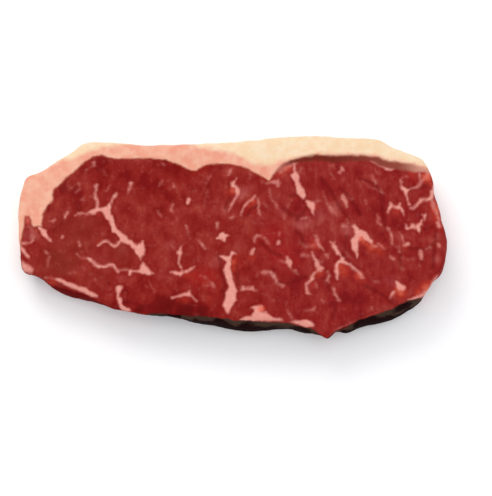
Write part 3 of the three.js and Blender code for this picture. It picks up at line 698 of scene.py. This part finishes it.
def sculpt(steak):
    """Carves seams, veins, creases and torn fibres into the cut face, and folds into the sides."""
    points = pushed(points_of(steak.data))
    normals = normals_of(steak.data)
    tissue = tissue_at(points, normals)
    upward = smoothstep(normals[:, 2], 0.25, 0.85)
    sideways = smoothstep(1 - np.abs(normals[:, 2]), 0.1, 0.6)
    moved = points.copy()
    moved[:, 2] += upward * relief_of_cut_face(points, tissue)
    folds = 0.4 * noise(points * (1, 1, 0.5), 9, 21) + 0.2 * noise(points * (1, 1, 0.7), 3.5, 22)
    moved += normals * (sideways * folds)[:, None]
    moved[:, 2] = np.maximum(moved[:, 2], 0)
    steak.data.vertices.foreach_set("co", (moved * MM).ravel())
    steak.data.update()


def keep_tissue(steak):
    """Writes the tissues on the finished mesh, for its material."""
    tissue = tissue_at(points_of(steak.data), normals_of(steak.data))
    for name in TISSUES:
        attribute = steak.data.attributes.new(name, "FLOAT", "POINT")
        attribute.data.foreach_set("value", tissue[name].astype(np.float32))


def make_steak(solid):
    steak = rounded_slab(solid)
    refine_cut_face(steak)
    sculpt(steak)
    keep_tissue(steak)
    steak.data.polygons.foreach_set("use_smooth", [True] * len(steak.data.polygons))
    return steak


# ---- Materials ----

# Names of the inputs and outputs that Blender only numbers.
ADDEND = 2  # of a Math node that multiplies and adds
FACTOR, COLOUR_A, COLOUR_B, MIXED = 0, 6, 7, 2  # of a Mix node for colours
VALUE_A, VALUE_B = 2, 3  # of a Mix node for values
STRENGTH = 2  # the output of an Attribute node that holds one value
WET, DRY = 0.42, 0.95  # roughness of the cut face and of the dried skin


def linear(code):
    """An sRGB hex colour as linear red, green, blue and alpha."""
    parts = [int(code[place:place + 2], 16) / 255 for place in (1, 3, 5)]
    return [part / 12.92 if part <= 0.04045 else ((part + 0.055) / 1.055) ** 2.4 for part in parts] + [1]


def add(tree, kind, inputs, output=0, **settings):
    """Adds a node and gives back one of its outputs. Each input is a value or the socket that feeds it."""
    node = tree.nodes.new(kind)
    for name, value in settings.items():
        setattr(node, name, value)
    for key, value in inputs.items():
        if isinstance(value, bpy.types.NodeSocket):
            tree.links.new(value, node.inputs[key])
        else:
            node.inputs[key].default_value = value
    return node.outputs[output]


def new_material(name):
    material = bpy.data.materials.new(name)
    material.use_nodes = True
    return material, material.node_tree, material.node_tree.nodes["Principled BSDF"]


def pattern(tree, size_mm, detail=2.0, turn=0.0, stretch=1.0):
    """Noise from 0 to 1 whose lumps are about a size in mm, drawn out along the grain."""
    place = add(tree, "ShaderNodeTexCoord", {}, "Object")
    grain = add(tree, "ShaderNodeMapping", {"Vector": place, "Rotation": (0, 0, math.radians(turn)),
                                            "Scale": (1, 1 / stretch, 1)})
    return add(tree, "ShaderNodeTexNoise", {"Vector": grain, "Scale": 1 / (size_mm * MM), "Detail": detail})


def painted(tree, below, colour, value, low, high, most=1.0):
    """A colour laid over another, from nothing where `value` is `low` to `most` where it is `high`."""
    limits = {"Value": value, "From Min": low, "From Max": high, "To Max": most}
    share = add(tree, "ShaderNodeMapRange", limits, interpolation_type="SMOOTHSTEP")
    layers = {FACTOR: share, COLOUR_A: below, COLOUR_B: colour}
    return add(tree, "ShaderNodeMix", layers, MIXED, data_type="RGBA")


def lean_colour(tree, tissue, grain, speckle):
    """Lean muscle: deep crimson between paler bundles of fibres, browner where air has reached it."""
    tone = -0.72
    for value, weight in ((pattern(tree, 7), 0.85), (grain, 1.2), (speckle, 0.16), (tissue["torn"], 0.05),
                          (tissue["deep"], -0.26), (tissue["pale"], 0.28), (tissue["bright"], -0.1)):
        tone = add(tree, "ShaderNodeMath", {0: value, 1: weight, ADDEND: tone}, operation="MULTIPLY_ADD")
    lean = painted(tree, linear("#730a09"), linear("#821914"), tone, 0.1, 0.32)
    lean = painted(tree, lean, linear("#8b261f"), tone, 0.32, 0.5)
    lean = painted(tree, lean, linear("#95362c"), tone, 0.5, 0.68)
    lean = painted(tree, lean, linear("#a44f43"), tone, 0.66, 0.92)
    lean = painted(tree, lean, linear("#782517"), tissue["brown"], 0.1, 1.3, 0.75)
    lean = painted(tree, lean, linear("#a41814"), tissue["bright"], 0.1, 1.3, 0.6)
    lean = painted(tree, lean, linear("#aa5e57"), pattern(tree, 2.3, 1), 0.58, 0.76, 0.14)
    lean = painted(tree, lean, linear("#770807"), tissue["beside"], 0.1, 1.0, 0.35)
    lean = painted(tree, lean, linear("#841b24"), tissue["torn"], 0.2, 1.0, 0.2)
    # Darker patches of the lean, and painted shade going down the front side.
    lean = painted(tree, lean, linear("#580203"), tissue["deep"], 0.6, 1.8, 0.85)
    # Paler patches, many of them a painted lavender sheen.
    lean = painted(tree, lean, linear("#a9595c"), tissue["pale"], 0.2, 1.3, 0.25)
    # Painted shade in the creases.
    return painted(tree, lean, linear("#660507"), tissue["crease"], 1.6, 0.2, 0.5)


def marbled_lean(tree, tissue, grain, speckle):
    """Lean with its veins of fat, which shine orange-red through thin meat beside them."""
    uneven = -0.25
    for value, weight in ((tissue["marbling"], 1.0), (speckle, 0.15), (pattern(tree, 2.6), 0.28)):
        uneven = add(tree, "ShaderNodeMath", {0: value, 1: weight, ADDEND: uneven}, operation="MULTIPLY_ADD")
    meat = lean_colour(tree, tissue, grain, speckle)
    meat = painted(tree, meat, linear("#a52e1f"), tissue["glow"], 0.05, 0.7, 0.8)
    meat = painted(tree, meat, linear("#cc624c"), tissue["glow"], 0.45, 1.3, 0.9)
    vein = painted(tree, linear("#b1544c"), linear("#c27269"), uneven, 0.2, 0.6)
    vein = painted(tree, vein, linear("#d78f82"), uneven, 0.55, 0.95)
    vein = painted(tree, vein, linear("#e0a695"), pattern(tree, 1.8), 0.5, 0.7, 0.45)
    vein = painted(tree, vein, linear("#d56149"), tissue["glow"], 0.5, 1.3, 0.85)
    return painted(tree, meat, vein, uneven, 0.06, 0.88, 0.96)


def fat_colour(tree, tissue):
    """Firm beef fat: pink on the cut face, cream towards the outer skin."""
    drift = add(tree, "ShaderNodeMath", {0: pattern(tree, 5), 1: 4.0, ADDEND: tissue["cream"]},
                operation="MULTIPLY_ADD")
    pink = painted(tree, linear("#db957d"), linear("#dfa68e"), pattern(tree, 6, 2), 0.36, 0.64)
    pink = painted(tree, pink, linear("#e3baa0"), pattern(tree, 2.8, 2), 0.5, 0.75, 0.35)
    cream = painted(tree, linear("#e3c4a0"), linear("#e5cdae"), pattern(tree, 4, 3), 0.35, 0.65)
    return painted(tree, pink, cream, drift, 0.5, 4.0)


def cleft_shade_colour(tree):
    """Painted shade in the cleft between fat and lean, dark brown in the middle and fading to a pinkish tan
    at both ends.
    """
    place = add(tree, "ShaderNodeTexCoord", {}, "Object")
    along = add(tree, "ShaderNodeSeparateXYZ", {0: place})
    brown = painted(tree, linear("#661f13"), linear("#853f32"), along, 0.045, 0.08)
    brown = painted(tree, brown, linear("#a96457"), along, 0.03, 0.022)
    return painted(tree, brown, linear("#c88e7b"), along, 0.078, 0.094)


def raw_beef():
    """Raw beef, cut with a knife: wet red fibres that let light in, with firm pale fat between them."""
    material, tree, shader = new_material("raw_beef")
    tissue = {name: add(tree, "ShaderNodeAttribute", {}, STRENGTH, attribute_name=name) for name in TISSUES}
    speckle = pattern(tree, 1.2)
    bundles = pattern(tree, 3.2, turn=27, stretch=2.0)
    strands = pattern(tree, 1.5, turn=48, stretch=4.0)
    torn_grain = add(tree, "ShaderNodeMix", {FACTOR: 0.35, VALUE_A: bundles, VALUE_B: strands})
    even = 0.5
    fibres = pattern(tree, 2.9, turn=-12, stretch=1.6)
    calm_grain = add(tree, "ShaderNodeMix", {FACTOR: 0.55, VALUE_A: even, VALUE_B: fibres})
    grain = add(tree, "ShaderNodeMix", {FACTOR: tissue["torn"], VALUE_A: calm_grain, VALUE_B: torn_grain})
    to_fat = -0.4
    for value, weight in ((tissue["fat"], 1.0), (tissue["lean"], -1.0), (speckle, 0.8)):
        to_fat = add(tree, "ShaderNodeMath", {0: value, 1: weight, ADDEND: to_fat}, operation="MULTIPLY_ADD")
    to_dried = add(tree, "ShaderNodeMath", {0: pattern(tree, 3), 1: 0.8, ADDEND: tissue["dried"]},
                   operation="MULTIPLY_ADD")

    meat = marbled_lean(tree, tissue, grain, speckle)
    meat = painted(tree, meat, linear("#964534"), to_fat, -2.0, 0.2, 0.75)
    surface = painted(tree, meat, fat_colour(tree, tissue), to_fat, -0.9, 1.7)
    # Painted shade darkens the cleft between fat and lean.
    surface = painted(tree, surface, cleft_shade_colour(tree), tissue["cleft_shade"], 0.0, 1.0)
    # The outside of the lean has dried almost black; greyish patches on it, lighter towards the rim, are a
    # painted sheen.
    grey_sheen = add(tree, "ShaderNodeMath", {0: tissue["dried"], 1: -0.06, ADDEND: pattern(tree, 9, 3)},
                operation="MULTIPLY_ADD")
    dried = painted(tree, linear("#170202"), linear("#3d2b22"), grey_sheen, 0.36, 0.5)
    surface = painted(tree, surface, dried, to_dried, 0.1, 0.8)

    tree.links.new(surface, shader.inputs["Base Color"])
    drying = add(tree, "ShaderNodeMath", {0: to_dried, 1: tissue["rim"]}, operation="MAXIMUM")
    matt = add(tree, "ShaderNodeMapRange", {"Value": drying, "From Min": 0.0, "From Max": 0.8,
                                            "To Min": WET, "To Max": DRY})
    tree.links.new(matt, shader.inputs["Roughness"])
    shader.inputs["IOR"].default_value = 1.37
    shader.inputs["Specular IOR Level"].default_value = 0.08
    shader.inputs["Subsurface Weight"].default_value = 0.2
    shader.inputs["Subsurface Radius"].default_value = (1.0, 0.35, 0.25)
    shader.inputs["Subsurface Scale"].default_value = MM
    height = add(tree, "ShaderNodeMath", {0: grain, 1: 0.8, ADDEND: speckle}, operation="MULTIPLY_ADD")
    bump = add(tree, "ShaderNodeBump", {"Height": height, "Strength": 0.15, "Distance": 0.12 * MM})
    tree.links.new(bump, shader.inputs["Normal"])
    return material


def pale_floor():
    """Matt white laminate under soft light."""
    material, _, shader = new_material("pale_floor")
    shader.inputs["Base Color"].default_value = linear("#f7f6f5")
    shader.inputs["Roughness"].default_value = 0.7
    return material


# ---- Stage, light and camera ----

FLOOR_SIDE = 6.0  # m
SENSOR = 36.0  # mm
# Each lamp is (name, place in m, width in m, watts, colour).
LAMPS = [
    ("window", (-0.5, 0.95, 1.0), 0.9, 6, "#fffaf4"),
    ("ceiling", (0.2, -0.5, 1.8), 1.4, 8.2, "#f8faff"),
]


def make_floor():
    work = bmesh.new()
    bmesh.ops.create_grid(work, x_segments=1, y_segments=1, size=FLOOR_SIDE / 2)
    mesh = bpy.data.meshes.new("floor")
    work.to_mesh(mesh)
    work.free()
    floor = mesh_object("floor", mesh)
    floor.data.materials.append(pale_floor())


def make_lamp(name, place, width, watts, colour):
    light = bpy.data.lights.new(name, "AREA")
    light.shape = "DISK"
    light.size = width
    light.energy = watts
    light.color = linear(colour)[:3]
    lamp = bpy.data.objects.new(name, light)
    lamp.location = place
    lamp.rotation_euler = (-Vector(place)).to_track_quat("-Z", "Y").to_euler()
    bpy.context.collection.objects.link(lamp)


def make_world():
    world = bpy.data.worlds.new("soft_room")
    world.use_nodes = True
    backdrop = world.node_tree.nodes["Background"]
    backdrop.inputs["Color"].default_value = linear("#f6f7fa")
    backdrop.inputs["Strength"].default_value = 0.95
    bpy.context.scene.world = world


def make_camera():
    camera = bpy.data.cameras.new("camera")
    camera.sensor_width = SENSOR
    camera.lens = SENSOR * PIXELS_AT_UNIT / PICTURE_HEIGHT
    holder = bpy.data.objects.new("camera", camera)
    away = Vector((0, -math.cos(VIEW_ELEVATION), math.sin(VIEW_ELEVATION)))
    holder.location = (Vector((AIM_X, AIM_Y, AIM_Z)) + away * VIEW_DISTANCE) * MM
    holder.rotation_euler = (-away).to_track_quat("-Z", "Y").to_euler()
    bpy.context.collection.objects.link(holder)
    bpy.context.scene.camera = holder


make_camera()
make_world()
make_floor()
for lamp in LAMPS:
    make_lamp(*lamp)
bpy.context.scene.view_settings.view_transform = "Standard"

steak = make_steak(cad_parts["steak"])
steak.data.materials.append(raw_beef())
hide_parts("steak")
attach(steak, "root")
